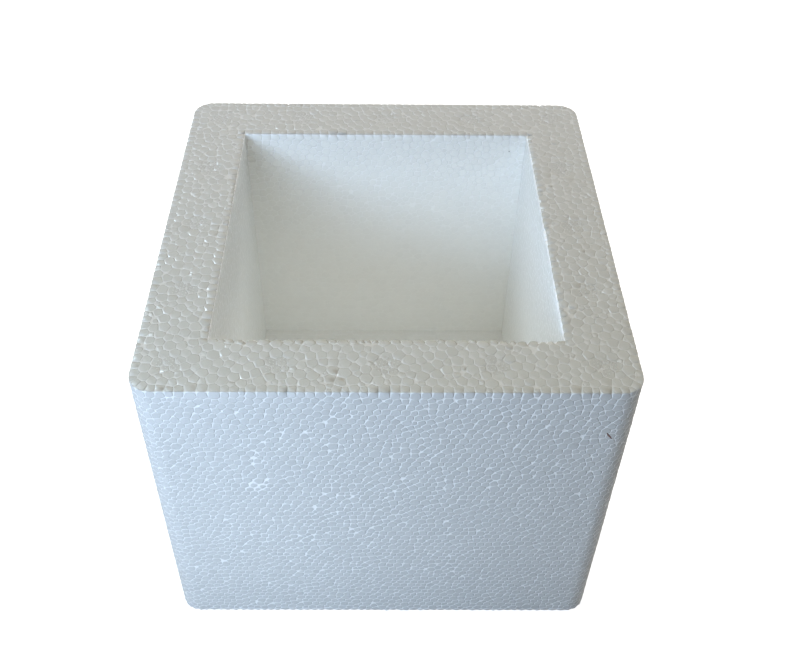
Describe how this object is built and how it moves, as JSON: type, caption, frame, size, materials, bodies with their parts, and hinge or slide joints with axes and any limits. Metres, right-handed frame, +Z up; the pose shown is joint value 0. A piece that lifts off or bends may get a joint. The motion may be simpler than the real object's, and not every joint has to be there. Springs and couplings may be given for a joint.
{
  "type": "foam block",
  "caption": "Moulded white bead-foam block with a square blind pocket, a single-use mould for casting a concrete test cube.",
  "frame": {"origin": "middle of the underside", "axes": "+Z up, out of the pocket's mouth; +X and +Y along the sides of the square"},
  "size_m": [0.21, 0.21, 0.175],
  "materials": {
    "bead_foam": "matte, steam-moulded bead surface of expanded polystyrene"
  },
  "bodies": {
    "root": {"foam_block": "bead_foam"}
  },
  "joints": []
}
